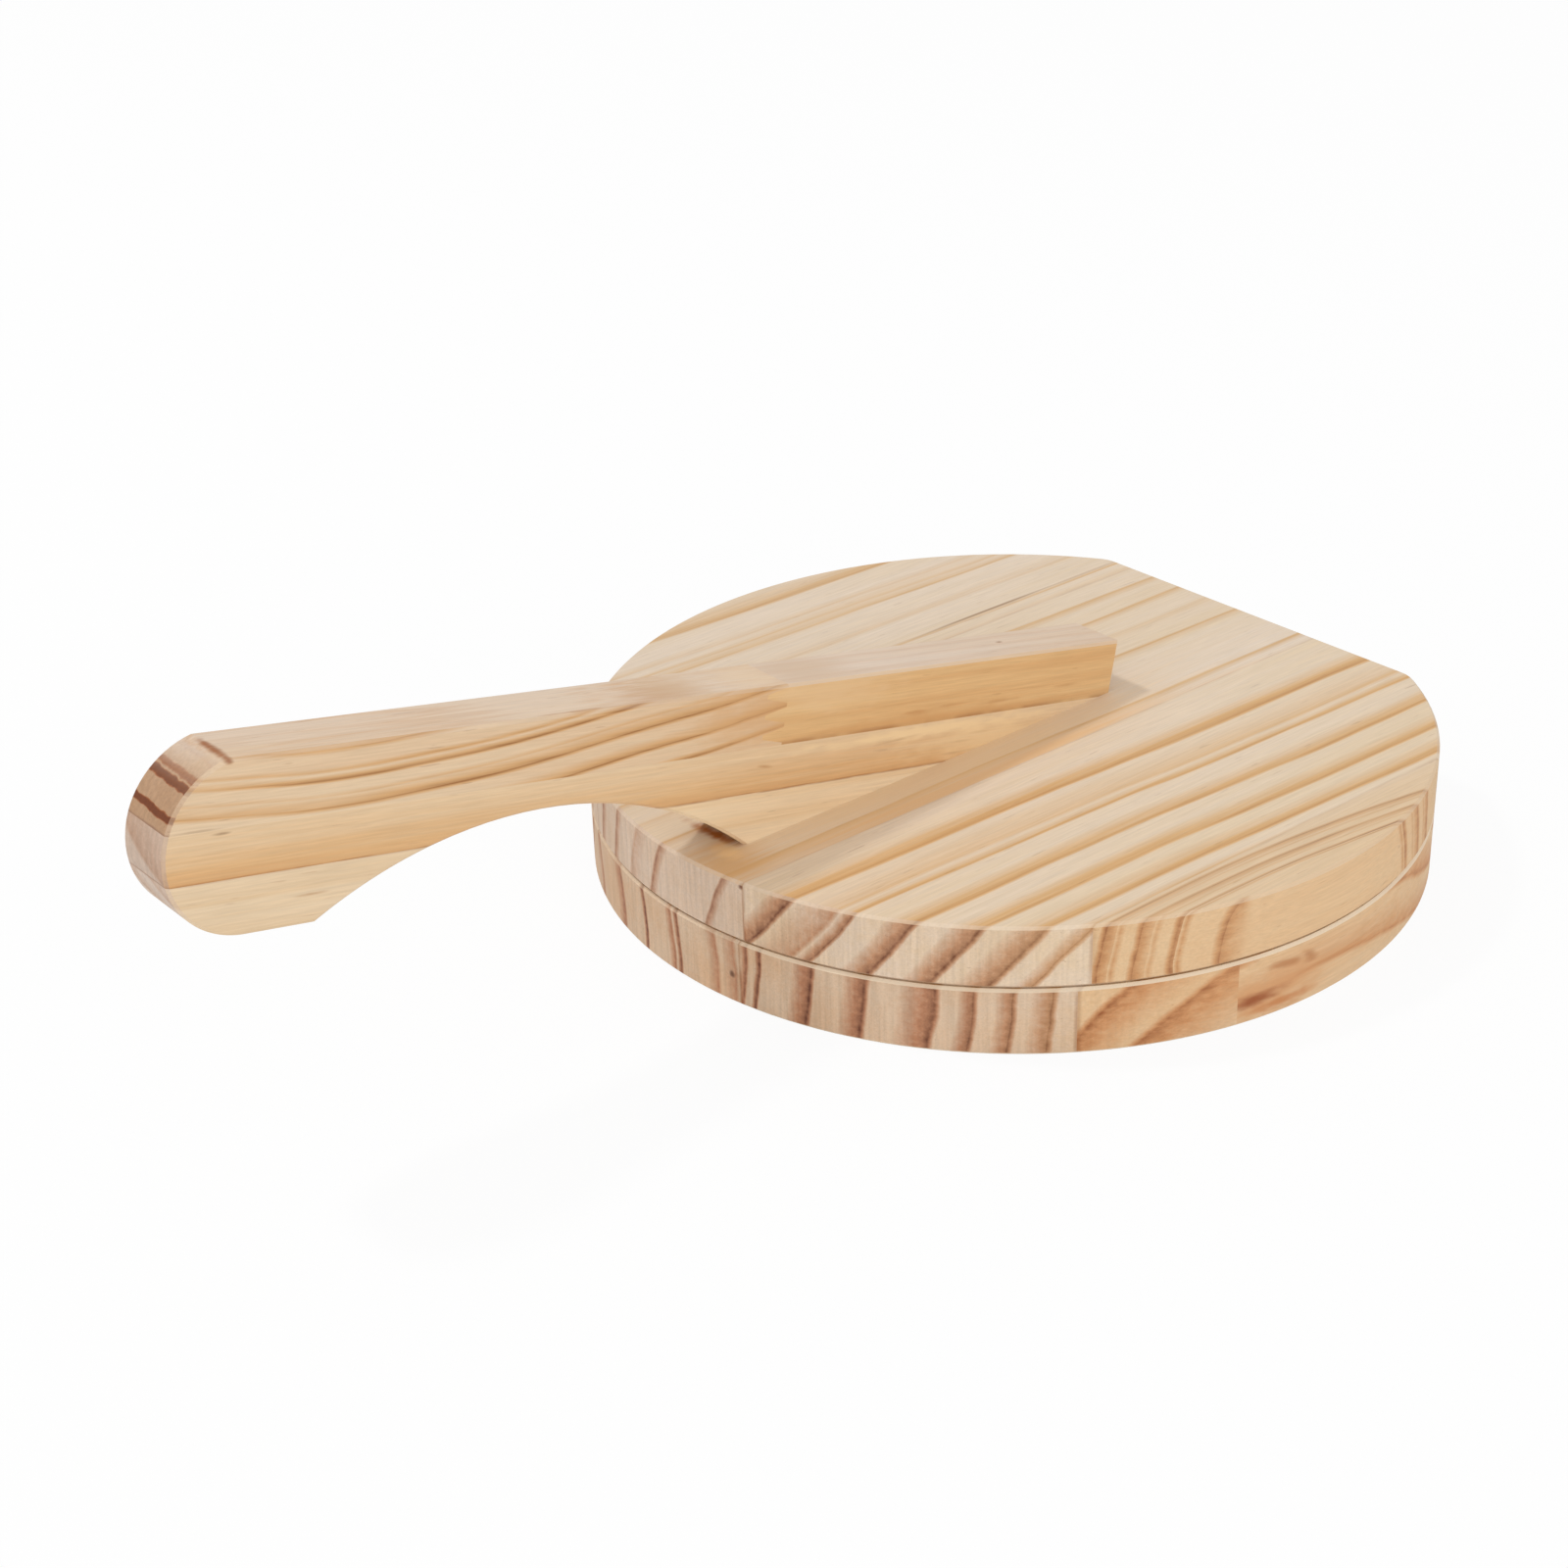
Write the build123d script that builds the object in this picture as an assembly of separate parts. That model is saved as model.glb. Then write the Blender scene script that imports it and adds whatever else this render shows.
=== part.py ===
from build123d import *
import math
import os

os.makedirs("parts", exist_ok=True)

# Round boards. X runs along the hinge, -Y towards the grip, +Z up, and the
# origin is the centre of the lower board's underside.
board_radius = 80.0
flat_depth = 10.9
corner_radius = 6.0
board_edge = 0.5
lower_thickness = 12.8
upper_thickness = 11.7
lower_edge_staves = (45.0, 15.0)
upper_edge_staves = (46.3, 13.7)

# Clearances between the two halves
parting_gap = 0.3
barrel_gap = 0.3
knuckle_gap = 0.3
pin_clearance = 0.05

# Handle: a plank on edge, glued up from strips. u runs along its straight top
# edge from the tip to the grip, v runs down square to that edge.
handle_thickness = 12.0
handle_tilt = 11.87
tip_y = 23.5
tip_rise = 10.1
blank_width = 29.0
end_top = 192.0
end_lean = 4.9
knob_flat = 12.1
finger_arc_depth = 12.9
handle_edge = 0.5
top_strip = 11.0
low_strip = 9.7

# Finger joints: one in the handle's top strip, one in a lower stave
handle_joint = 83.5
handle_fingers = 3
handle_finger_length = 4.6
stave_joint = -20.6
stave_fingers = 3
stave_finger_length = 8.0
stave_finger_span = 11.4
finger_tip = 0.8

# Butt hinges on the flat
hinge_end_margin = 5.8
leaf_length = 25.0
leaf_width = 9.6
leaf_thickness = 0.9
leaf_corner = 1.5
leaf_root = 0.6
barrel_radius = 2.0
pin_radius = 1.0
pin_head_radius = 1.5
pin_head_height = 0.5
outer_knuckle = 9.0

# Screws
leaf_screw_radius = 1.0
leaf_screw_head = 1.9
leaf_screw_length = 9.0
leaf_screw_spacing = 17.0
leaf_screw_height = 5.7
leaf_thread_pitch = 0.9
handle_screw_radius = 2.0
handle_screw_head = 3.8
handle_screw_length = 25.0
handle_screw_sink = 0.2
handle_screw_places = (-52.0, -18.0)
handle_thread_pitch = 1.5
thread_depth = 0.28
recess_share = 0.62

flat_distance = board_radius - flat_depth
half_chord = math.sqrt(board_radius ** 2 - flat_distance ** 2)
hinge_offset = half_chord - hinge_end_margin - leaf_length / 2
upper_bottom = lower_thickness + parting_gap
board_top = upper_bottom + upper_thickness
hinge_z = lower_thickness + parting_gap / 2
hinge_y = flat_distance + barrel_gap + barrel_radius
tip_z = board_top + tip_rise
tilt = math.radians(handle_tilt)
reach = 3 * board_radius


def plank_point(u, v):
    """(y, z) of a point given along and across the handle's top edge."""
    y = tip_y - u * math.cos(tilt) - v * math.sin(tilt)
    z = tip_z + u * math.sin(tilt) - v * math.cos(tilt)
    return (y, z)


def bulge_point(a, b, bulge):
    """Middle point of an arc from a to b that swells to the left of a-b."""
    length = math.hypot(b[0] - a[0], b[1] - a[1])
    across = (-(b[1] - a[1]) / length, (b[0] - a[0]) / length)
    return ((a[0] + b[0]) / 2 + bulge * across[0], (a[1] + b[1]) / 2 + bulge * across[1])


def side_face(points):
    """Polygon given in (u, v), standing in the plane of the handle's side."""
    return make_face(Polyline(*[plank_point(u, v) for u, v in points], close=True))


def through_handle(face):
    """A face in (y, z), pushed through the whole thickness of the handle."""
    return extrude(Plane.YZ.offset(-handle_thickness) * face, amount=2 * handle_thickness)


def finger_line(width, count, length):
    """Zigzag of a finger joint as (along, across) pairs, starting at across = 0."""
    pitch = width / count
    flat = finger_tip / 2
    points = [(0, 0)]
    for i in range(count):
        start = i * pitch
        points += [(0, start + flat), (length, start + pitch / 2 - flat),
                   (length, start + pitch / 2 + flat), (0, start + pitch - flat)]
    points.append((0, width))
    return points


def screw_envelope(radius, head_radius, length):
    """Countersunk screw without threads: head at z = 0, point at z = -length."""
    head = head_radius - radius
    outline = [(0, 0), (head_radius, 0), (radius, -head), (radius, -length + 2 * radius), (0, -length)]
    return revolve(Plane.XZ * make_face(Polyline(*outline, close=True)), Axis.Z)


def screw(radius, head_radius, length, pitch):
    """The same screw with ridged thread and a cross recess."""
    head = head_radius - radius
    core = radius - thread_depth
    z = -head - pitch
    outline = [(0, 0), (head_radius, 0), (core, -(head_radius - core)), (core, z)]
    while z - pitch > -length + 2 * radius:
        outline += [(radius, z - pitch / 2), (core, z - pitch)]
        z -= pitch
    outline += [(core, -length + 2 * radius), (0, -length)]
    body = revolve(Plane.XZ * make_face(Polyline(*outline, close=True)), Axis.Z)
    span = 2 * head_radius * recess_share
    for turn in (0, 90):
        body -= Rot(0, 0, turn) * Box(span, span / 6, head * 1.3)
    return body


def board(bottom, thickness):
    """Round board with its flat hinge side, corners and edges rounded."""
    disc = Pos(0, 0, bottom + thickness / 2) * Cylinder(board_radius, thickness)
    keep = Pos(0, flat_distance - reach / 2, bottom + thickness / 2) * Box(reach, reach, thickness)
    solid = disc & keep
    corners = solid.edges().filter_by(Axis.Z).filter_by(lambda e: e.center().Y > flat_distance - 1)
    solid = fillet(corners, corner_radius)
    rims = solid.edges().filter_by(lambda e: abs(e.tangent_at(0.5).Z) < 0.1)
    return chamfer(rims, board_edge)


def seam_lines(edge_staves):
    """X of the glue seams: the two middle staves share what the edge ones leave."""
    first = edge_staves[0] - board_radius
    last = board_radius - edge_staves[1]
    return [first, (first + last) / 2, last]


def staves(solid, seams):
    """The board cut along its glue seams, in order of X."""
    limits = [-reach / 2, *seams, reach / 2]
    pieces = []
    for low, high in zip(limits, limits[1:]):
        slab = Pos((low + high) / 2, 0, 0) * Box(high - low, reach, reach)
        pieces.append(solid & slab)
    return pieces


def on_flat(x, z):
    """Place of a leaf screw: its head looks out along +Y at the leaf's face."""
    return Pos(x, flat_distance + leaf_thickness, z) * Rot(-90, 0, 0)


def leaf_screw_places(side):
    """Screw places of both hinges, side -1 for the lower leaves, +1 for the upper."""
    places = []
    for hinge in (-1, 1):
        for end in (-1, 1):
            x = hinge * hinge_offset + end * leaf_screw_spacing / 2
            places.append(on_flat(x, hinge_z + side * leaf_screw_height))
    return places


def along_hinge(x_low, x_high, radius):
    """Cylinder on the hinge axis between two X positions."""
    place = Pos((x_low + x_high) / 2, hinge_y, hinge_z) * Rot(0, 90, 0)
    return place * Cylinder(radius, x_high - x_low)


def leaf(centre, side, spans, bore):
    """Hinge leaf: plate on the flat, rolled knuckles over the given spans."""
    face = flat_distance + leaf_thickness / 2
    axis_offset = barrel_gap + barrel_radius - leaf_thickness
    notch = math.sqrt((barrel_radius + knuckle_gap) ** 2 - axis_offset ** 2)
    height = leaf_width - notch
    plate = Pos(centre, face, hinge_z + side * (notch + height / 2)) * Box(leaf_length, leaf_thickness, height)
    outer = plate.edges().filter_by(Axis.Y).filter_by(lambda e: side * (e.center().Z - hinge_z) > leaf_width - 0.1)
    solid = fillet(outer, leaf_corner)
    tab_height = notch - leaf_root
    for low, high in spans:
        tab = Box(high - low, leaf_thickness, tab_height)
        solid += Pos(centre + (low + high) / 2, face, hinge_z + side * (leaf_root + tab_height / 2)) * tab
        solid += along_hinge(centre + low, centre + high, barrel_radius)
    for low, high in spans:
        solid -= along_hinge(centre + low, centre + high, bore)
    for place in leaf_screw_places(side):
        solid -= place * leaf_screw_void
    return solid


leaf_screw_void = screw_envelope(leaf_screw_radius, leaf_screw_head, leaf_screw_length)
leaf_screw = screw(leaf_screw_radius, leaf_screw_head, leaf_screw_length, leaf_thread_pitch)
handle_screw_void = screw_envelope(handle_screw_radius, handle_screw_head, handle_screw_length)
handle_screw = screw(handle_screw_radius, handle_screw_head, handle_screw_length, handle_thread_pitch)
handle_places = [Pos(0, y, upper_bottom + handle_screw_sink) * Rot(180, 0, 0) for y in handle_screw_places]

nodes = {}

# Lower board, with the finger joint in its right-hand stave
lower = board(0, lower_thickness)
for place in leaf_screw_places(-1):
    lower -= place * leaf_screw_void
lower_seams = seam_lines(lower_edge_staves)
lower_pieces = staves(lower, lower_seams)
for number, piece in enumerate(lower_pieces[:-1], start=1):
    nodes[f"lower_stave_{number}"] = piece
zigzag = finger_line(stave_finger_span, stave_fingers, stave_finger_length)
seam = [(lower_seams[-1] + across, stave_joint + along) for along, across in zigzag]
front = [(lower_seams[-1], -reach), *seam, (reach, stave_joint), (reach, -reach)]
front_block = extrude(Plane.XY.offset(-1) * make_face(Polyline(*front, close=True)), amount=lower_thickness + 2)
nodes["lower_stave_4_front"] = lower_pieces[-1] & front_block
nodes["lower_stave_4_back"] = lower_pieces[-1] - front_block

# Upper board
upper = board(upper_bottom, upper_thickness)
for place in leaf_screw_places(1):
    upper -= place * leaf_screw_void
for place in handle_places:
    upper -= place * handle_screw_void
    upper -= place * Pos(0, 0, handle_screw_sink) * Cylinder(handle_screw_head, 2 * handle_screw_sink)
for number, piece in enumerate(staves(upper, seam_lines(upper_edge_staves)), start=1):
    nodes[f"upper_stave_{number}"] = piece

# Handle outline, sawn from the plank
foot_front = (blank_width * math.cos(tilt) - tip_rise) / math.sin(tilt)
foot_back = tip_rise / math.cos(tilt)
corner_a = plank_point(0, 0)
corner_b = plank_point(end_top, 0)
end_bottom = end_top - end_lean
corner_c = plank_point(end_bottom, blank_width)
corner_d = plank_point(end_bottom - knob_flat, blank_width)
corner_e = plank_point(foot_front, blank_width)
corner_f = plank_point(0, foot_back)
outline = Curve() + [
    Line(corner_a, corner_b),
    TangentArc(corner_c, corner_b, tangent=(-math.cos(tilt), math.sin(tilt))),
    Line(corner_c, corner_d),
    ThreePointArc(corner_d, bulge_point(corner_d, corner_e, finger_arc_depth), corner_e),
    Line(corner_e, corner_f),
    Line(corner_f, corner_a),
]
handle = extrude(Plane.YZ.offset(-handle_thickness / 2) * make_face(outline), amount=handle_thickness)
long_edges = handle.edges().filter_by(
    lambda e: abs(abs(e.center().X) - handle_thickness / 2) < 0.01 and e.center().Z > board_top + 0.1)
handle = chamfer(long_edges, handle_edge)
for place in handle_places:
    handle -= place * handle_screw_void

# The handle's strips
top_line = top_strip
low_line = blank_width - low_strip
near = -blank_width
far = end_top + blank_width
top_band = through_handle(side_face([(near, near), (far, near), (far, top_line), (near, top_line)]))
middle_band = through_handle(side_face([(near, top_line), (far, top_line), (far, low_line), (near, low_line)]))
zigzag = finger_line(top_line, handle_fingers, handle_finger_length)
seam = [(handle_joint + along, across) for along, across in zigzag]
tip_block = through_handle(side_face([(near, near), (handle_joint, near), *seam, (near, top_line)]))
top_piece = handle & top_band
nodes["handle_top_tip"] = top_piece & tip_block
nodes["handle_top_grip"] = top_piece - tip_block
nodes["handle_middle"] = handle & middle_band
low_pieces = (handle - top_band - middle_band).solids().sort_by(Axis.Y)
nodes["handle_knob"] = low_pieces[0]
nodes["handle_foot"] = low_pieces[-1]

# Hinges: the lower leaf holds the pin and carries the two outer knuckles
half = leaf_length / 2
inner = half - outer_knuckle
outer_spans = [(-half, -inner), (inner, half)]
inner_span = [(-inner + knuckle_gap, inner - knuckle_gap)]
for number, sign in ((1, -1), (2, 1)):
    centre = sign * hinge_offset
    nodes[f"hinge_{number}_lower_leaf"] = leaf(centre, -1, outer_spans, pin_radius)
    nodes[f"hinge_{number}_upper_leaf"] = leaf(centre, 1, inner_span, pin_radius + pin_clearance)
    pin = along_hinge(centre - half, centre + half, pin_radius)
    for end in (-1, 1):
        face = centre + end * half
        tip = face + end * pin_head_height
        head = along_hinge(min(face, tip), max(face, tip), pin_head_radius)
        rim = head.edges().filter_by(lambda e: abs(e.center().X - tip) < 0.01)
        pin += fillet(rim, pin_head_height * 0.7)
    nodes[f"hinge_{number}_pin"] = pin

# Screws
nodes["hinge_screws_lower"] = Compound([place * leaf_screw for place in leaf_screw_places(-1)])
nodes["hinge_screws_upper"] = Compound([place * leaf_screw for place in leaf_screw_places(1)])
nodes["handle_screws"] = Compound([place * handle_screw for place in handle_places])

for name, solid in nodes.items():
    export_step(solid, f"parts/{name}.step")
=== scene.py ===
import math

import bpy
from mathutils import Matrix, Vector

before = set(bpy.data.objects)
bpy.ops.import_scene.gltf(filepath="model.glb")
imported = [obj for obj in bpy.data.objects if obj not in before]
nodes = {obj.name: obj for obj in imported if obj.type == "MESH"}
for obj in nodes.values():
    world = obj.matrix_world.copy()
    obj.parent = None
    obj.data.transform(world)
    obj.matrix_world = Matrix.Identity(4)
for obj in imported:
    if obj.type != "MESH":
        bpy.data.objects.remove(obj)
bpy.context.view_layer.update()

MM_PER_M = 1000.0
WHITE = (1.0, 1.0, 1.0, 1.0)


def linear(rgb):
    """Linear colour of an sRGB colour given as 0-255."""
    out = []
    for c in rgb:
        c = c / 255
        out.append(c / 12.92 if c <= 0.04045 else ((c + 0.055) / 1.055) ** 2.4)
    return (*out, 1.0)


class Tree:
    """The shader nodes of a material or a world, made and joined with short calls."""

    def __init__(self, owner):
        self.owner = owner
        owner.use_nodes = True
        self.nodes = owner.node_tree.nodes
        self.links = owner.node_tree.links
        self.nodes.clear()

    def new(self, kind, **settings):
        node = self.nodes.new(kind)
        for key, value in settings.items():
            setattr(node, key, value)
        return node

    def put(self, socket, value):
        if isinstance(value, bpy.types.NodeSocket):
            self.links.new(value, socket)
        elif value is not None:
            socket.default_value = value

    def math(self, operation, a, b=None, c=None, clamp=False):
        node = self.new("ShaderNodeMath", operation=operation, use_clamp=clamp)
        for socket, value in zip(node.inputs, (a, b, c)):
            self.put(socket, value)
        return node.outputs[0]

    def vector(self, operation, a, b=None, scale=None):
        node = self.new("ShaderNodeVectorMath", operation=operation)
        self.put(node.inputs[0], a)
        if b is not None:
            self.put(node.inputs[1], b)
        if scale is not None:
            node.inputs["Scale"].default_value = scale
        return node.outputs["Value"] if operation == "DOT_PRODUCT" else node.outputs[0]

    def noise(self, vector, stretch, detail=2.0, roughness=0.5):
        """Noise over a vector that is first multiplied by stretch, part by part."""
        node = self.new("ShaderNodeTexNoise")
        self.put(node.inputs["Vector"], self.vector("MULTIPLY", vector, stretch))
        node.inputs["Scale"].default_value = 1.0
        node.inputs["Detail"].default_value = detail
        node.inputs["Roughness"].default_value = roughness
        return node.outputs["Fac"]

    def ramp(self, factor, stops):
        node = self.new("ShaderNodeValToRGB")
        elements = node.color_ramp.elements
        while len(elements) < len(stops):
            elements.new(0.5)
        for element, (position, value) in zip(elements, stops):
            element.position = position
            element.color = (value, value, value, 1.0)
        self.put(node.inputs["Fac"], factor)
        return node.outputs["Color"]

    def span(self, value, low, high, out_low=0.0, out_high=1.0, smooth=False):
        """Map low..high to out_low..out_high, held at both ends."""
        node = self.new("ShaderNodeMapRange", interpolation_type="SMOOTHSTEP" if smooth else "LINEAR")
        node.clamp = True
        self.put(node.inputs["Value"], value)
        for socket, number in zip(("From Min", "From Max", "To Min", "To Max"), (low, high, out_low, out_high)):
            node.inputs[socket].default_value = number
        return node.outputs["Result"]

    def mix(self, factor, a, b, blend="MIX"):
        node = self.new("ShaderNodeMix", data_type="RGBA", blend_type=blend)
        node.clamp_factor = True
        self.put(node.inputs["Factor"], factor)
        self.put(node.inputs[6], a)
        self.put(node.inputs[7], b)
        return node.outputs[2]

    def brighten(self, colour, amount):
        """Multiply a colour by a number."""
        grey = self.new("ShaderNodeCombineColor")
        for socket in grey.inputs[:3]:
            self.put(socket, amount)
        return self.mix(1.0, colour, grey.outputs[0], "MULTIPLY")

    def bump(self, height, strength, distance):
        node = self.new("ShaderNodeBump")
        node.inputs["Strength"].default_value = strength
        node.inputs["Distance"].default_value = distance
        self.put(node.inputs["Height"], height)
        return node.outputs[0]

    def seen(self):
        """1 for the camera and for what metal and glass show, 0 for the light on the object."""
        path = self.new("ShaderNodeLightPath")
        mirrored = self.math("MAXIMUM", path.outputs["Is Glossy Ray"], path.outputs["Is Transmission Ray"])
        return self.math("MAXIMUM", path.outputs["Is Camera Ray"], mirrored)

    def shader(self, **inputs):
        node = self.new("ShaderNodeBsdfPrincipled")
        for key, value in inputs.items():
            self.put(node.inputs[key.replace("_", " ")], value)
        self.finish("Material", node)

    def finish(self, kind, last):
        out = self.new("ShaderNodeOutput" + kind)
        self.links.new(last.outputs[0], out.inputs["Surface"])


# Glued pine. Positions are in millimetres of the object at rest: across, along
# and third are X, Y and Z in the boards. In the handle, along runs from its tip
# to the grip and third runs down from its top edge. The tree rings are circles
# round a pith in the plane across the grain, so the same ring runs over a face
# and turns down the end grain.

HANDLE_TILT = math.radians(11.87)
TIP_Y, TIP_Z = 23.5, 34.9

# Noise cycles per millimetre across, along and third
STRAND = (0.9, 0.016, 0.9)
FIBRE = (3.0, 0.10, 3.0)
BROAD = (0.07, 0.007, 0.07)
BEND = (0.020, 0.010, 0.020)
RIPPLE = (0.15, 0.030, 0.15)
NIBBLE = (0.55, 0.2, 0.9)
PORE = (2.0, 0.15, 2.0)
SANDING = (1.5, 1.5, 0.07)
LONG_RAGGED = (0.8, 0.02, 0.8)
SHORT_RAGGED = (0.7, 0.2, 0.7)
GLUE_FADE = (0.11, 0.11, 0.11)
SEED_STEP = (31.7, 17.3, 53.1)

BEND_REACH, RIPPLE_REACH, NIBBLE_REACH = 4.0, 1.0, 0.8
TOP_RAGGED = 1.3
TOP_FADE = 0.62
END_LEAN = -0.07
LONG_MARK = 9.0
PINE_IOR = 1.3
PINE_RELIEF = 0.00005
BANDS_PER_RAMP = 6  # a ramp holds 32 stops

GLUE_BROWN = (142, 84, 42)
# Painted shade: brown on the upper boards' lower chamfer, where the gap between the boards lies in shadow
GAP_SHADE_BROWN = (132, 82, 46)
DASH_BROWN = (138, 90, 52)
DASH_AMBER = (186, 132, 82)
# Pale chamfer colour of the lower boards: rubbed wear with a painted highlight on an edge the upper board
# shades
WORN_HIGHLIGHT_CREAM = (240, 222, 196)


def late_wood(tree, ring, bands):
    """0 in the pale wood, about 0.5 where it turns orange, 1 at a ring's dark edge.

    Each band is (radius of the dark edge, width, darkness). A negative width
    gives a clean-edged band.
    """
    total = None
    for first in range(0, len(bands), BANDS_PER_RAMP):
        group = bands[first:first + BANDS_PER_RAMP]
        low = group[0][0] - abs(group[0][1]) - 1.0
        high = group[-1][0] + 1.0
        stops = [(low, 0.0)]
        for radius, width, dark in group:
            start = radius - abs(width)
            stops.append((start, 0.0))
            if width < 0.0:
                stops.extend([(start + 0.25, dark), (radius - 0.10, dark), (radius + 0.15, 0.0)])
                continue
            if width > 1.4:
                stops.append((start + 0.45 * width, 0.36 * dark))
                stops.append((start + 0.78 * width, 0.68 * dark))
            stops.append((radius - min(0.20 * width, 0.55), dark))
            stops.append((radius + 0.22, 0.0))
        stops = [((place - low) / (high - low), value) for place, value in stops]
        part = tree.ramp(tree.math("DIVIDE", tree.math("SUBTRACT", ring, low), high - low), stops)
        total = part if total is None else tree.math("MAXIMUM", total, part)
    return total


def wood_colour(tree, tone, late, pale, cream, orange, dark):
    early = tree.mix(tone, linear(pale), linear(cream))
    middle = tree.mix(tree.span(late, 0.0, 0.52), early, linear(orange))
    return tree.mix(tree.span(late, 0.50, 1.0), middle, linear(dark))


def mark(tree, colour, first, second, mask, centre, size, slope, tint, strength, shift):
    """A soft-edged dash, dot, stain, patch of painted shade or patch of painted light, ragged along its length.
    """
    a = tree.math("SUBTRACT", first, centre[0])
    b = tree.math("SUBTRACT", tree.math("SUBTRACT", second, centre[1]), tree.math("MULTIPLY", a, slope))
    a = tree.math("DIVIDE", a, size[0])
    b = tree.math("DIVIDE", b, size[1])
    away = tree.math("SQRT", tree.math("ADD", tree.math("MULTIPLY", a, a), tree.math("MULTIPLY", b, b)))
    ragged = tree.noise(shift, LONG_RAGGED if size[1] > LONG_MARK else SHORT_RAGGED)
    away = tree.math("ADD", away, tree.span(ragged, 0.3, 0.7, -0.25, 0.25))
    there = tree.math("MULTIPLY", tree.span(away, 0.1, 1.2, strength, 0.0, smooth=True), mask)
    return tree.mix(there, colour, linear(tint))


def wood_place(tree, handle):
    """The point, its parts across, along and third, and the same parts of the normal."""
    place = tree.new("ShaderNodeTexCoord")
    point = tree.vector("SCALE", place.outputs["Object"], scale=MM_PER_M)
    normal = place.outputs["Normal"]
    if handle:
        cos, sin = math.cos(HANDLE_TILT), math.sin(HANDLE_TILT)
        axes = ((1.0, 0.0, 0.0), (0.0, -cos, sin), (0.0, -sin, -cos))
        turned = []
        for vector in (tree.vector("SUBTRACT", point, (0.0, TIP_Y, TIP_Z)), normal):
            parts = [tree.vector("DOT_PRODUCT", vector, axis) for axis in axes]
            both = tree.new("ShaderNodeCombineXYZ")
            for socket, value in zip(both.inputs, parts):
                tree.put(socket, value)
            turned.append(both.outputs[0])
        point, normal = turned
    split = []
    for vector in (point, normal):
        node = tree.new("ShaderNodeSeparateXYZ")
        tree.put(node.inputs[0], vector)
        split.append(node.outputs)
    return point, *split


def curve(tree, value, points, low, high, out_low, out_high):
    """A smooth curve through points, from value in low..high."""
    node = tree.new("ShaderNodeFloatCurve")
    line = node.mapping.curves[0]
    scaled = [((a - low) / (high - low), (b - out_low) / (out_high - out_low)) for a, b in points]
    while len(line.points) < len(scaled):
        line.points.new(0.5, 0.5)
    for point, place in zip(line.points, scaled):
        point.location = place
    node.mapping.update()
    tree.put(node.inputs["Value"], tree.span(value, low, high))
    return tree.math("MULTIPLY_ADD", node.outputs[0], out_high - out_low, out_low)


def ring_circles(tree, place, sway, pith, slope, start, bow):
    """Distance from the pith, which may slope and bow along the grain."""
    across, along, third = place
    drift = tree.math("MULTIPLY_ADD", along, -slope, slope * start - pith[0])
    side = tree.math("ADD", tree.math("ADD", across, drift), sway)
    if bow:
        bow_start, bow_rate = bow
        past = tree.math("MAXIMUM", tree.math("ADD", along, -bow_start), 0.0)
        side = tree.math("SUBTRACT", side, tree.math("MULTIPLY", tree.math("MULTIPLY", past, past), bow_rate))
    height = tree.math("ADD", third, -pith[1])
    return tree.math("SQRT", tree.math("ADD", tree.math("MULTIPLY", side, side),
                                       tree.math("MULTIPLY", height, height)))


def ring_layers(tree, place, sway, rise, lean, ragged):
    """Depth below a curve along the strip, for rings too wide to show as circles."""
    across, along, third = place
    depth = tree.math("SUBTRACT", third, curve(tree, along, rise["points"], *rise["range"]))
    ring = tree.math("ADD", tree.math("MULTIPLY_ADD", across, lean, depth), sway)
    return tree.math("ADD", ring, ragged)


def glue_lines(tree, across, third, seams, glue, endness, shift):
    """Strength of the glue lines, each (place, half width, strength), or None."""
    line = None
    for value, places in ((across, seams), (third, glue)):
        for centre, half, strength in places:
            away = tree.math("ABSOLUTE", tree.math("SUBTRACT", value, centre))
            seam = tree.span(away, half * 0.3, half, strength, 0.0)
            line = seam if line is None else tree.math("MAXIMUM", line, seam)
    if line is None:
        return None
    if seams:  # plainest on the end grain
        line = tree.math("MULTIPLY", line, tree.math("MULTIPLY_ADD", endness, 0.72, 0.28))
    faded = tree.noise(shift, GLUE_FADE)
    return tree.math("MULTIPLY", line, tree.span(faded, 0.38, 0.58, 0.25, 1.0))


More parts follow.
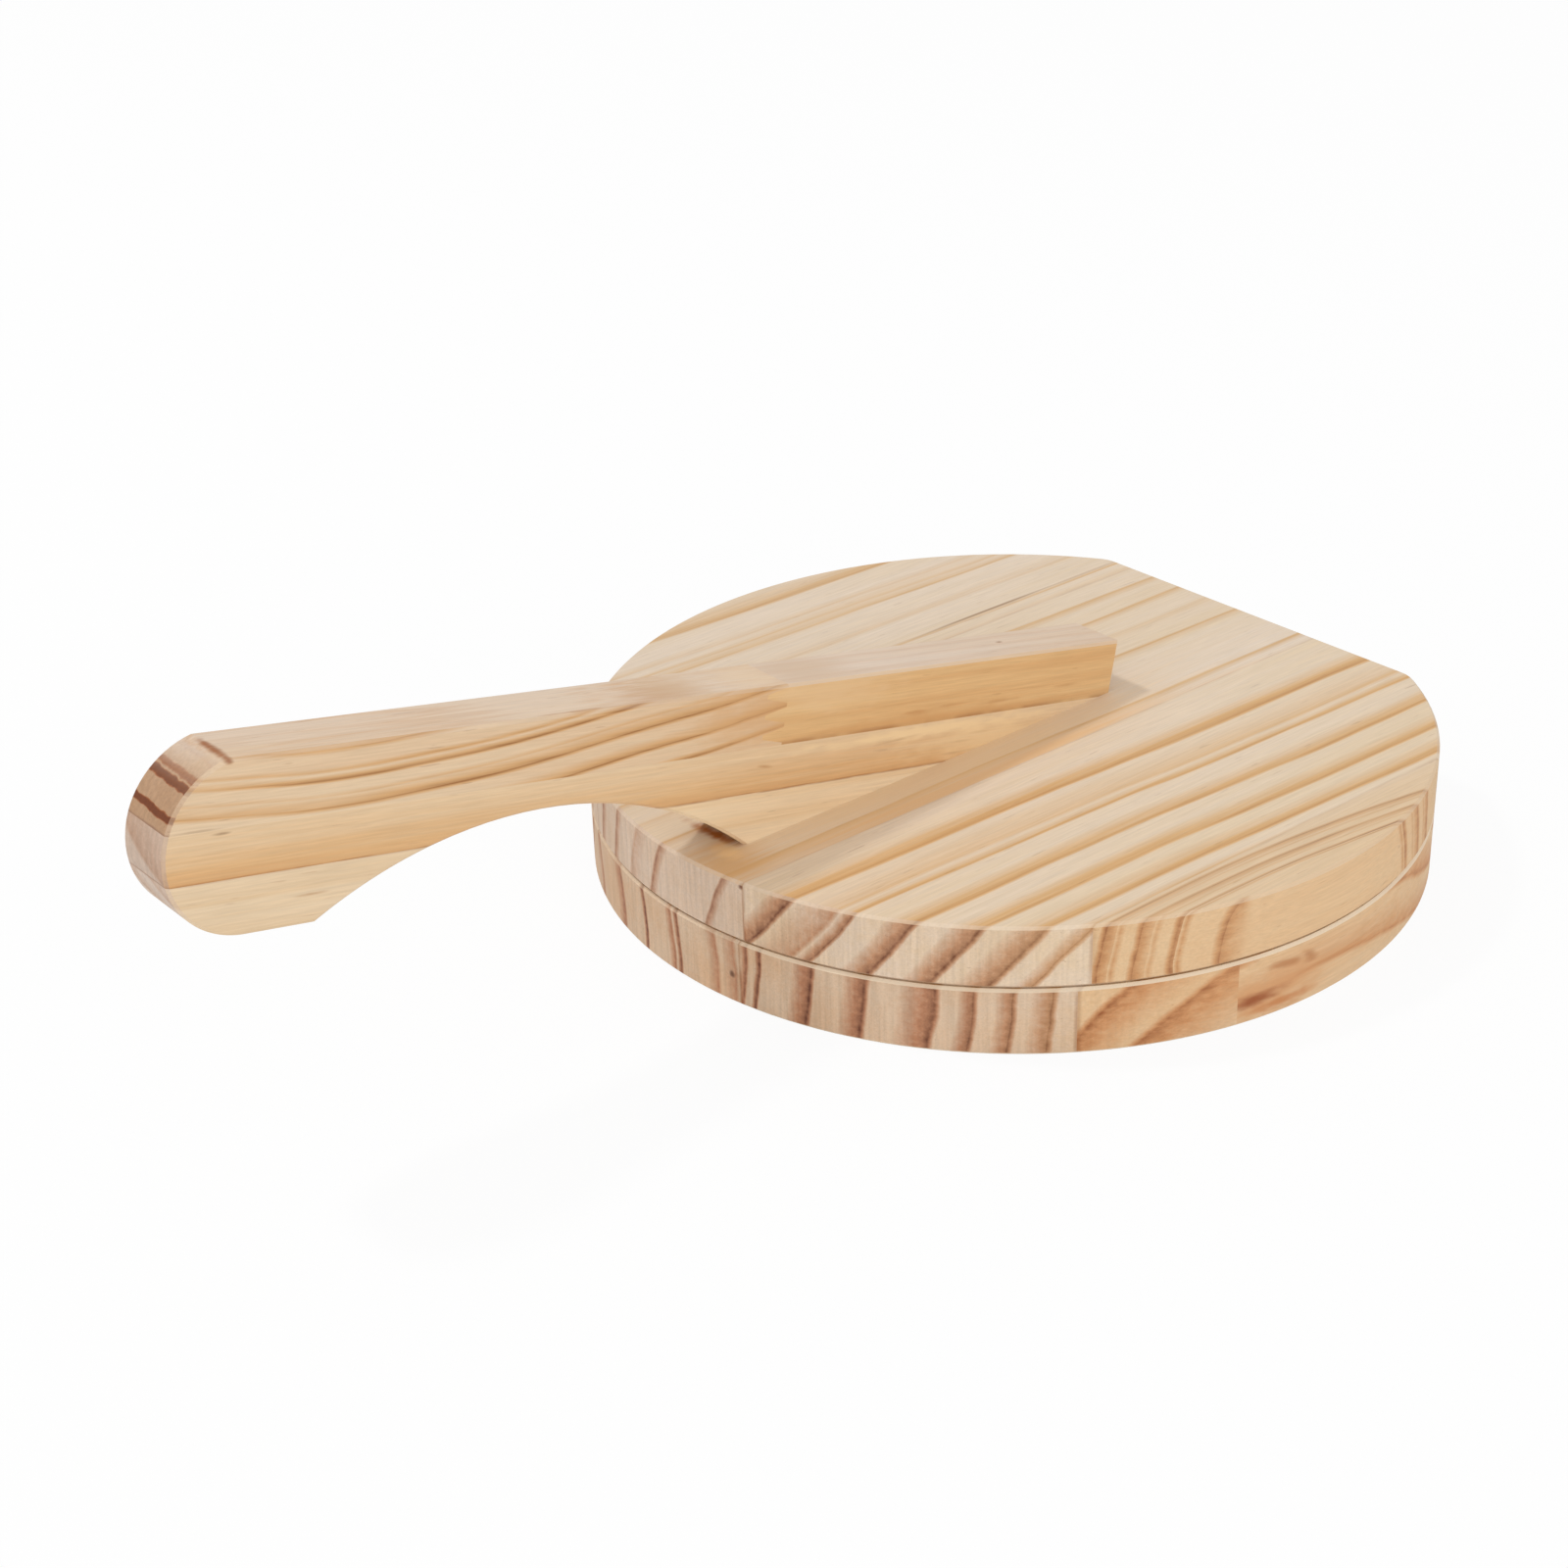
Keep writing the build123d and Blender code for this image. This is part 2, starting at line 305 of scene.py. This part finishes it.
def pine(name, rings, palette, seed, edge, handle=False, pith=None, slope=0.0, start=0.0, bow=None,
         rise=None, lean=0.0, wobble=1.0, front=None, fade=None, end_rings=None, seams=(), glue=(),
         marks=(), edge_highlight_tint=None, gap_shade=0.0):
    """Pine of one strip.

    rings, end_rings: bands of late wood, the second for the end grain alone.
    pith, slope, start, bow: see ring_circles. rise, lean: see ring_layers.
    front: (place along, bands) of rings that end there. fade: how they pale along the grain.
    edge, edge_highlight_tint: pale edges, rubbed wear with a painted highlight on the chamfers. gap_shade:
    painted shade, brown on the lower edge in the gap between the boards.
    """
    tree = Tree(bpy.data.materials.new(name))
    point, place, facing = wood_place(tree, handle)
    across, along, third = place
    shift = tree.vector("ADD", point, tuple(step * seed for step in SEED_STEP))

    # Streaks along the grain, from fine to broad
    strand = tree.noise(shift, STRAND, 3.0, 0.6)
    fibre = tree.noise(shift, FIBRE, 3.0, 0.65)
    broad = tree.noise(shift, BROAD)

    # Share of end grain, of a side and of the handle's top at this point of the surface
    endness = tree.span(tree.math("ABSOLUTE", facing[1]), 0.30, 0.85, smooth=True)
    sideness = tree.span(tree.math("ABSOLUTE", facing[0]), 0.3, 0.9, smooth=True)
    topness = tree.span(tree.math("MULTIPLY", facing[2], -1.0), 0.86, 0.97, smooth=True)

    # Wavy grain: broad bends along the piece, small ones across it
    sway = tree.math("MULTIPLY_ADD", tree.noise(shift, BEND), BEND_REACH * wobble,
                     -0.5 * (BEND_REACH + RIPPLE_REACH) * wobble)
    sway = tree.math("MULTIPLY_ADD", tree.noise(shift, RIPPLE), RIPPLE_REACH * wobble, sway)

    # Late wood of the rings
    if rise:
        ragged = tree.math("MULTIPLY", tree.span(strand, 0.3, 0.7, -TOP_RAGGED, TOP_RAGGED), topness)
        ring = ring_layers(tree, place, sway, rise, lean, ragged)
    else:
        ring = ring_circles(tree, place, sway, pith, slope, start, bow)
    late = late_wood(tree, ring, rings)
    if front:
        front_end, front_bands = front
        here = tree.span(along, front_end, front_end + 2.0, 1.0, 0.0)
        late = tree.math("MAXIMUM", late, tree.math("MULTIPLY", late_wood(tree, ring, front_bands), here))
    late = tree.math("MULTIPLY", late, tree.span(strand, 0.3, 0.7, 0.66, 1.18), clamp=True)
    if rise:
        late = tree.math("MULTIPLY", late, tree.math("MULTIPLY_ADD", topness, -TOP_FADE, 1.0))
    if fade:
        late = tree.math("MULTIPLY", late, tree.span(along, *fade))
    if end_rings:
        nibble = tree.math("MULTIPLY_ADD", tree.noise(shift, NIBBLE), NIBBLE_REACH, -0.5 * NIBBLE_REACH)
        ring_end = tree.math("MULTIPLY_ADD", across, END_LEAN, tree.math("ADD", ring, nibble))
        late_end = late_wood(tree, ring_end, end_rings)
    else:
        late_end = tree.math("POWER", late, 0.72)

    # Colour of the face, the side and the end grain
    tone = tree.span(tree.math("MULTIPLY_ADD", strand, 0.35, tree.math("MULTIPLY", broad, 0.65)), 0.36, 0.62)
    colour = wood_colour(tree, tone, late, *palette["face"])
    if "side" in palette:
        colour = tree.mix(sideness, colour, wood_colour(tree, tone, late, *palette["side"]))
    colour = tree.mix(endness, colour, wood_colour(tree, tone, late_end, *palette["end"]))

    # Fine fibre, pores, and sanding marks on the end grain
    colour = tree.brighten(colour, tree.span(fibre, 0.30, 0.70, 0.92, 1.06))
    pore = tree.noise(shift, PORE, 1.0)
    colour = tree.mix(tree.math("MULTIPLY", tree.span(pore, 0.72, 0.78), 0.22), colour,
                      linear(palette["end"][3]))
    sanding = tree.span(tree.noise(shift, SANDING), 0.35, 0.65, -0.07, 0.07)
    colour = tree.brighten(colour, tree.math("MULTIPLY_ADD", endness, sanding, 1.0))

    # Knots, dashes and stains, and a few patches of painted shade and painted light. Each lies on one part of
    # the surface: first and
    #     # second coordinate there, and where it shows
    masks = {
        "side": (along, third, tree.span(facing[0], 0.5, 0.8)),
        "top": (across, along, tree.span(tree.math("ABSOLUTE", facing[2]), 0.5, 0.8)),
        "rim": (across, third, tree.span(facing[1], -0.05, -0.18)),
        "right": (along, third, tree.span(facing[0], 0.3, 0.5)),
        "end": (across, third, endness),
        "corner": (along, third, tree.span(across, -4.0, -2.0)),
    }
    for where, centre, size, mark_slope, tint, strength in marks:
        colour = mark(tree, colour, *masks[where], centre, size, mark_slope, tint, strength, shift)

    # Edges made pale, rubbed wear with a painted highlight on the chamfers, and painted shade where the lower
    # edge lies in the gap between the boards
    corner = tree.math("ABSOLUTE", facing[0] if handle else facing[2])
    worn_and_highlit = tree.math("MULTIPLY", tree.span(corner, 0.35, 0.5), tree.span(corner, 0.85, 0.95, 1.0, 0.0))
    colour = tree.mix(tree.math("MULTIPLY", worn_and_highlit, edge), colour, linear(edge_highlight_tint or palette["face"][0]))
    # Painted shade on the downward chamfer, standing for the shadow in the gap between the boards
    if gap_shade:
        gap_shade_mask = tree.math("MULTIPLY", tree.span(facing[2], -0.35, -0.50),
                             tree.span(facing[2], -0.95, -0.85))
        colour = tree.mix(tree.math("MULTIPLY", gap_shade_mask, gap_shade), colour, linear(GAP_SHADE_BROWN))

    line = glue_lines(tree, across, third, seams, glue, endness, shift)
    if line is not None:
        colour = tree.mix(line, colour, linear(GLUE_BROWN))

    # Relief: late wood stands proud, pores and glue lines are cut into the surface
    relief = tree.math("MULTIPLY", late, 0.5)
    relief = tree.math("MULTIPLY_ADD", fibre, 0.8, relief)
    relief = tree.math("MULTIPLY_ADD", pore, -0.3, relief)
    if line is not None:
        relief = tree.math("MULTIPLY_ADD", line, -0.25, relief)
    rough = tree.math("MULTIPLY_ADD", late, -0.06, tree.span(fibre, 0.3, 0.7, 0.58, 0.70))
    tree.shader(Base_Color=colour, Roughness=rough, Normal=tree.bump(relief, 0.6, PINE_RELIEF), IOR=PINE_IOR)
    return tree.owner


# Each row: pale, cream, orange part of the late wood, its dark edge
cool_board = {
    "face": ((225, 207, 187), (222, 200, 171), (213, 178, 136), (196, 150, 102)),
    "end": ((214, 193, 174), (209, 182, 156), (184, 142, 114), (126, 78, 56)),
}
warm_board = {
    "face": ((226, 207, 185), (224, 202, 172), (214, 172, 121), (194, 146, 96)),
    "end": ((221, 200, 178), (217, 191, 160), (186, 138, 104), (114, 68, 46)),
}
edge_board = {
    "face": ((222, 200, 174), (221, 193, 157), (208, 169, 127), (170, 134, 104)),
    "side": ((223, 193, 154), (220, 184, 142), (203, 154, 108), (170, 119, 80)),
    "end": ((218, 187, 147), (214, 178, 135), (195, 138, 88), (138, 78, 40)),
}
low_board = {
    "face": ((224, 203, 180), (222, 195, 160), (210, 168, 120), (190, 140, 92)),
    "end": ((210, 184, 157), (206, 172, 139), (178, 126, 94), (102, 58, 40)),
}
low_edge_board = {
    "face": ((224, 203, 178), (224, 195, 156), (208, 164, 112), (194, 138, 86)),
    "side": ((223, 193, 156), (218, 180, 137), (203, 148, 101), (154, 94, 56)),
    "end": ((222, 192, 154), (217, 180, 136), (196, 138, 92), (144, 82, 44)),
}
light_palette = {
    "face": ((222, 202, 182), (221, 195, 166), (206, 166, 128), (178, 128, 86)),
    "side": ((223, 198, 165), (219, 188, 153), (209, 164, 114), (160, 111, 66)),
    "end": ((185, 149, 118), (177, 139, 106), (156, 94, 56), (116, 62, 34)),
}
warm_palette = {
    "face": ((226, 203, 172), (224, 195, 158), (212, 166, 116), (196, 142, 88)),
    "side": ((228, 205, 172), (222, 194, 158), (217, 175, 126), (208, 157, 105)),
    "end": ((206, 184, 167), (201, 177, 158), (194, 164, 142), (178, 140, 114)),
}
plain_palette = {
    "face": ((226, 204, 174), (224, 197, 160), (214, 176, 128), (200, 150, 98)),
    "side": ((227, 205, 175), (223, 196, 160), (213, 176, 128), (198, 148, 95)),
    "end": ((216, 195, 178), (211, 187, 167), (188, 148, 118), (164, 118, 86)),
}
foot_palette = {
    "face": ((226, 204, 174), (224, 197, 160), (214, 176, 128), (200, 150, 98)),
    "side": ((235, 213, 180), (232, 205, 168), (221, 185, 137), (204, 154, 100)),
    # End grain darkened: partly the wood's own darker end grain, partly painted shade for the shadowed
    # underside at the foot's front
    "end": ((136, 88, 54), (128, 82, 50), (118, 72, 44), (104, 60, 36)),
}
amber_palette = {
    "face": ((222, 202, 183), (218, 193, 167), (206, 170, 138), (188, 150, 116)),
    "side": ((228, 194, 144), (219, 177, 125), (207, 157, 104), (184, 130, 76)),
    "end": ((206, 172, 130), (198, 158, 112), (176, 124, 78), (150, 98, 56)),
}

# Each mark: part of the surface, centre, size, slope, tint, strength
upper_staves = {
    "upper_stave_1": dict(
        palette=cool_board, seed=1, pith=(-150, 70), slope=0.02,
        rings=[(90.1, 7.0, 0.8), (98.4, 2.2, 0.35), (101.0, 1.2, 0.5), (103.4, 2.6, 0.7), (111.6, 3.5, 0.3),
               (120.3, 1.2, 0.6), (124.6, 3.0, 0.4)],
        marks=[("top", (-38.6, 32.0), (0.5, 20.0), 0.0, (160, 128, 98), 0.85),
               ("top", (-38.6, 58.0), (0.4, 14.0), 0.0, (176, 142, 110), 0.4),
               ("top", (-60.0, 10.0), (3.6, 60.0), 0.0, (219, 188, 150), 0.5)]),
    "upper_stave_2": dict(
        palette=cool_board, seed=2, pith=(50, 1.4),
        rings=[(44.5, 1.8, 0.9), (59.8, 2.2, 0.8), (67.0, 3.6, 0.3), (74.2, 2.2, 0.8), (81.4, 2.6, 0.8)],
        marks=[("rim", (15.9, 24.0), (0.7, 0.7), 0.0, (110, 66, 42), 0.9),
               # Painted shade: a warm tan wash over the strip where the handle's shadow falls, light enough to
               # lift that shadow too. The narrow band by the seam is the stave's own late wood, tinted to the
               # same shadow colour.
               ("top", (8.0, -25.0), (11.0, 74.0), 0.0, (230, 194, 144), 0.55),
               ("top", (15.0, -24.0), (2.8, 80.0), 0.0, (226, 180, 126), 0.7),
               # Painted shade: orange-brown over the shadowed triangle in front of the handle's foot
               ("top", (9.0, -76.0), (9.0, 11.0), 0.0, (212, 166, 112), 0.8),
               # Painted light: a pale patch that lifts the shade next to the handle's foot
               ("top", (5.5, -73.0), (5.0, 2.6), 0.0, (242, 200, 142), 0.7),
               # Painted shadow: the dark brown contact wedge under the front of the handle's foot
               ("top", (-1.5, -70.7), (7.5, 1.7), 0.08, (172, 102, 44), 1.0)]),
    "upper_stave_3": dict(
        palette=warm_board, seed=3, pith=(-46, 75), slope=0.03, start=-70,
        rings=[(88.6, 4.2, 1.0), (95.0, 6.0, 0.42), (97.2, 2.0, 0.95), (105.0, 4.0, 0.95), (112.5, 4.0, 0.95),
               (118.7, 4.0, 0.9), (122.6, 2.0, 0.8)]),
    "upper_stave_4": dict(
        palette=edge_board, seed=4, pith=(170, 8), bow=(-25, 0.0015), wobble=0.6,
        rings=[(96.9, 0.5, 0.6), (97.6, 1.3, 0.95), (99.1, 0.5, 0.35), (100.7, 1.9, 1.0), (102.4, 0.6, 0.4),
               (104.0, 2.1, 1.0)],
        front=(-20.5, [(94.3, 1.9, 1.0)])),
}
lower_staves = {
    "lower_stave_1": dict(
        palette=low_board, seed=5, pith=(-130, 40), edge=0.40,
        rings=[(66.0, 3.0, 0.8), (73.0, 3.6, 0.9), (81.0, 2.8, 0.7), (88.0, 3.4, 0.9), (95.0, 3.0, 0.8)]),
    "lower_stave_2": dict(
        palette=low_board, seed=6, pith=(-62, 1), edge=0.30,
        rings=[(30.5, 2.8, 0.6), (42.4, 3.4, 0.7), (51.1, 1.2, 1.0), (59.9, 1.8, 0.7), (61.7, 1.3, 0.9),
               (71.6, 2.6, 0.5), (75.8, 3.0, 0.4)],
        marks=[("rim", (13.1, 5.8), (0.8, 0.8), 0.0, (96, 62, 44), 0.85)]),
    "lower_stave_3": dict(
        palette=low_board, seed=7, pith=(-60, 13), edge=0.65,
        rings=[(76.7, 1.4, 0.8), (79.5, 1.2, 1.0), (89.5, 4.2, 1.0), (98.8, 4.2, 0.95), (108.8, 5.6, 0.85),
               (114.0, 2.6, 1.0), (118.9, 2.6, 0.95), (123.5, 3.0, 0.95)]),
    "lower_stave_4_front": dict(
        palette=low_edge_board, seed=8, pith=(154.8, -40.3), edge=0.85,
        rings=[(94.0, 6.5, 0.85), (100.0, 5.2, 0.95)]),
    "lower_stave_4_back": dict(
        palette=low_edge_board, seed=9, pith=(56, 30), wobble=3.0, edge=0.85,
        rings=[(22.0, 4.0, 0.5), (28.0, 5.0, 0.7), (34.0, 5.0, 0.6)],
        marks=[("right", (-13.5, 4.6), (13.0, 5.6), 0.1, (210, 158, 112), 0.85),
               ("right", (-17.0, 4.3), (7.0, 1.5), 0.1, (150, 80, 44), 0.9),
               ("right", (-12.0, 2.2), (7.5, 1.3), 0.0, (196, 130, 80), 0.8),
               ("right", (-10.5, 9.4), (6.0, 1.0), -0.1, (178, 120, 76), 0.7),
               ("right", (-5.2, 9.0), (2.2, 1.4), -0.25, (172, 114, 70), 0.7)]),
}

# Depth of one ring below the top edge, from the joint to the grip's end
grip_rise = dict(
    points=[(80, -5.0), (85, -4.1), (90.5, -3.1), (100, -1.4), (110, -0.1), (115, 0.55), (122, 1.6),
            (132, 3.1), (143, 4.4), (158, 5.5), (168, 6.05), (178, 6.15), (188, 5.6), (198, 4.95), (205, 4.2)],
    range=(80.0, 205.0, -6.0, 7.0))
handle_strips = {
    "handle_top_grip": dict(
        palette=light_palette, seed=12, rise=grip_rise, lean=0.05, wobble=0.25, edge=0.12,
        fade=(166.0, 196.0, 1.0, 0.62),
        rings=[(-8.9, 1.6, 0.8), (-6.2, 0.7, 0.3), (-4.8, 2.2, 0.85), (-1.6, 0.9, 0.6), (0.0, 1.3, 1.0),
               (2.5, 0.8, 0.4), (4.7, 2.6, 1.0), (8.8, 2.4, 1.0), (12.3, 1.2, 0.9)],
        end_rings=[(-4.05, -1.0, 0.72), (-1.45, -0.95, 0.7), (0.05, -1.25, 1.0), (4.55, -1.3, 1.0)],
        marks=[("side", (85.0, 5.5), (22.0, 8.0), 0.0, (211, 165, 116), 0.62),
               ("side", (197.0, 10.8), (5.0, 0.28), 0.0, (158, 126, 98), 0.4),
               ("corner", (192.0, 0.25), (0.95, 0.8), 0.0, (156, 100, 62), 1.0),
               ("end", (0.0, 10.9), (20.0, 0.3), 0.0, (140, 104, 84), 0.7),
               ("top", (3.0, 110.0), (5.0, 11.0), 0.12, (196, 156, 122), 0.55),
               ("top", (0.0, 106.0), (9.0, 9.0), 0.0, (204, 170, 134), 0.6),
               ("top", (0.0, 88.0), (9.0, 8.0), 0.0, (227, 201, 170), 0.7),
               ("top", (5.3, 128.0), (0.4, 9.0), 0.0, (176, 122, 76), 0.6)]),
    "handle_top_tip": dict(
        palette=amber_palette, seed=11, pith=(70, -60), edge=0.40, glue=[(11.0, 0.85, 0.5)],
        rings=[(90.0, 3.0, 0.22), (92.6, 1.5, 0.20), (95.2, 1.3, 0.24), (98.0, 2.0, 0.34)],
        marks=[("side", (52.0, 8.6), (5.0, 0.5), 0.0, DASH_AMBER, 0.5),
               ("side", (43.0, 8.2), (4.4, 0.4), 0.0, DASH_AMBER, 0.4),
               ("side", (30.0, 8.8), (5.2, 0.5), 0.0, DASH_AMBER, 0.5),
               ("side", (13.0, 7.5), (4.4, 0.4), 0.0, (190, 136, 86), 0.4),
               ("side", (74.0, 2.0), (20.0, 4.5), 0.0, (226, 192, 148), 0.7),
               ("side", (45.0, 10.5), (34.0, 3.0), 0.0, (206, 156, 102), 0.5),
               ("top", (-1.0, 25.7), (0.5, 1.1), 0.0, (150, 108, 80), 0.8),
               ("top", (0.0, 76.0), (10.0, 12.0), 0.0, (208, 180, 152), 0.65)]),
    "handle_middle": dict(
        palette=warm_palette, seed=13, pith=(29.4, -36.3), wobble=0.6, edge=0.12, glue=[(19.3, 0.3, 0.55)],
        rings=[(47.0, 1.4, 0.3), (60.9, 9.5, 0.85)],
        marks=[("side", (55.0, 13.4), (7.0, 0.35), 0.08, DASH_BROWN, 0.4),
               ("side", (39.0, 15.7), (3.2, 0.35), 0.0, DASH_BROWN, 0.35),
               ("side", (34.0, 14.4), (3.2, 0.35), 0.0, DASH_BROWN, 0.3),
               ("side", (41.0, 17.8), (3.4, 0.3), 0.0, DASH_BROWN, 0.35),
               ("side", (36.5, 17.7), (3.0, 0.3), 0.0, DASH_BROWN, 0.3),
               ("side", (48.0, 12.5), (36.0, 1.5), 0.0, (243, 214, 168), 0.8),
               # Painted light: a pale patch that lifts the shade the board casts on this side near the tip
               ("side", (30.0, 15.8), (26.0, 4.6), 0.0, (240, 210, 164), 0.6),
               ("side", (192.3, 11.7), (1.9, 0.30), 0.0, (140, 106, 76), 0.6),
               ("side", (86.8, 14.6), (2.4, 0.4), -0.12, (186, 134, 88), 0.6)]),
    "handle_knob": dict(
        palette=plain_palette, seed=14, pith=(60, -60), edge=0.12, glue=[(19.3, 0.3, 0.25)],
        rings=[(99.0, 3.0, 0.22), (104.0, 3.0, 0.25)],
        marks=[("side", (176.0, 24.0), (3.0, 0.35), 0.0, (180, 134, 92), 0.6)]),
    "handle_foot": dict(
        palette=foot_palette, seed=15, pith=(60, -60), edge=0.12, glue=[(19.3, 0.3, 0.6)],
        rings=[(97.0, 3.0, 0.22), (101.0, 3.0, 0.25), (106.0, 3.0, 0.3)],
        marks=[("side", (53.2, 22.0), (2.6, 0.5), 0.35, (190, 140, 92), 0.6)]),
}

SEAM_HALF, SEAM_STRENGTH = 0.42, 0.62
upper_seams = [(x, SEAM_HALF, SEAM_STRENGTH) for x in (-33.7, 16.3, 66.3)]
lower_seams = [(x, SEAM_HALF, SEAM_STRENGTH) for x in (-35.0, 15.0, 65.0)]

materials = {}
# All boards get pale chamfers, wear with a painted highlight; the upper boards also get painted shade on their
# lower chamfer
for strips, shared in (
    (upper_staves, dict(seams=upper_seams, edge=0.35, gap_shade=0.4)),
    (lower_staves, dict(seams=lower_seams, edge_highlight_tint=WORN_HIGHLIGHT_CREAM)),
    (handle_strips, dict(handle=True)),
):
    for name, settings in strips.items():
        materials[name] = pine("wood_" + name, **shared, **settings)


BRUSH = (0.5, 6.0, 6.0)
CLOUD = (0.22, 0.22, 0.22)
METAL_SEED_STEP = (9.1, 5.7, 3.3)
METAL_RELIEF = 0.00003


def metal(name, colour, dark, roughness, seed):
    tree = Tree(bpy.data.materials.new(name))
    point = tree.vector("SCALE", tree.new("ShaderNodeTexCoord").outputs["Object"], scale=MM_PER_M)
    shift = tree.vector("ADD", point, tuple(step * seed for step in METAL_SEED_STEP))
    brush = tree.noise(shift, BRUSH, 3.0, 0.6)
    cloud = tree.noise(shift, CLOUD, 3.0, 0.6)
    base = tree.mix(tree.span(cloud, 0.3, 0.75), linear(colour), linear(dark))
    rough = tree.math("ADD", tree.span(brush, 0.3, 0.7, roughness - 0.07, roughness + 0.09),
                      tree.span(cloud, 0.4, 0.8, 0.0, 0.12))
    tree.shader(Base_Color=base, Metallic=1.0, Roughness=rough, Normal=tree.bump(brush, 0.4, METAL_RELIEF))
    return tree.owner


brass = metal("hinge_brass", (228, 196, 126), (214, 178, 106), 0.30, 1)
steel = metal("bright_steel", (200, 198, 194), (168, 166, 162), 0.28, 2)
for number in (1, 2):
    materials[f"hinge_{number}_lower_leaf"] = brass
    materials[f"hinge_{number}_upper_leaf"] = brass
    materials[f"hinge_{number}_pin"] = steel
for name in ("hinge_screws_lower", "hinge_screws_upper", "handle_screws"):
    materials[name] = steel

for name, piece in nodes.items():
    piece.data.materials.clear()
    piece.data.materials.append(materials[name])
    for polygon in piece.data.polygons:
        polygon.material_index = 0

for name, piece in nodes.items():
    if name.startswith(("upper_stave", "lower_stave")):
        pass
    elif name == "handle_top_tip":
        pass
    elif name == "handle_middle":
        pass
    elif name.startswith("handle_") and name != "handle_screws":
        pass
    elif "leaf" in name:
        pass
    else:
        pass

# Floor: near white to the camera, and it keeps the object's shadow
FLOOR_SIZE = 6.0
FLOOR_GREY = 0.9
FLOOR_GLOW = 0.92
bpy.ops.mesh.primitive_plane_add(size=FLOOR_SIZE, location=(0, 0, 0))
floor = bpy.context.object
floor.name = "floor"
tree = Tree(bpy.data.materials.new("floor_white"))
lit = tree.new("ShaderNodeBsdfDiffuse")
lit.inputs["Color"].default_value = (FLOOR_GREY, FLOOR_GREY, FLOOR_GREY, 1.0)
glow = tree.new("ShaderNodeEmission")
glow.inputs["Color"].default_value = WHITE
glow.inputs["Strength"].default_value = 1.0
both = tree.new("ShaderNodeMixShader")
tree.put(both.inputs[0], tree.math("MULTIPLY", tree.seen(), FLOOR_GLOW))
tree.links.new(lit.outputs[0], both.inputs[1])
tree.links.new(glow.outputs[0], both.inputs[2])
tree.finish("Material", both)
floor.data.materials.append(tree.owner)

# World: white to the camera, an even studio level to the object
STUDIO_LEVEL = 0.70
world = bpy.data.worlds.new("studio")
bpy.context.scene.world = world
tree = Tree(world)
background = tree.new("ShaderNodeBackground")
background.inputs["Color"].default_value = WHITE
tree.put(background.inputs["Strength"], tree.span(tree.seen(), 0.0, 1.0, STUDIO_LEVEL, 1.0))
tree.finish("World", background)

LIGHT_TARGET = Vector((0.0, -0.02, 0.02))


def area(name, at, size, power):
    light = bpy.data.lights.new(name, "AREA")
    light.shape = "DISK"
    light.size = size
    light.energy = power
    lamp = bpy.data.objects.new(name, light)
    bpy.context.scene.collection.objects.link(lamp)
    lamp.location = at
    lamp.rotation_euler = (LIGHT_TARGET - Vector(at)).to_track_quat("-Z", "Y").to_euler()


area("key", (-0.75, -0.55, 1.50), 0.20, 7.2)
area("fill", (1.75, -0.75, 0.80), 1.6, 12.0)

# Camera at the photograph's place, in metres and degrees
CAMERA_PLACE = (0.33486, -0.32617, 0.25151)
CAMERA_TURN, CAMERA_DOWN, CAMERA_ROLL = 51.035, 27.263, -1.877
camera_data = bpy.data.cameras.new("camera")
camera_data.sensor_width = 36.0
camera_data.lens = 62.56
camera_data.clip_start = 0.01
camera_data.clip_end = 20.0
camera = bpy.data.objects.new("camera", camera_data)
bpy.context.scene.collection.objects.link(camera)
camera.matrix_world = (Matrix.Translation(CAMERA_PLACE)
                       @ Matrix.Rotation(math.radians(CAMERA_TURN), 4, "Z")
                       @ Matrix.Rotation(math.radians(90 - CAMERA_DOWN), 4, "X")
                       @ Matrix.Rotation(math.radians(CAMERA_ROLL), 4, "Z"))
bpy.context.scene.camera = camera
bpy.context.scene.view_settings.view_transform = "Standard"
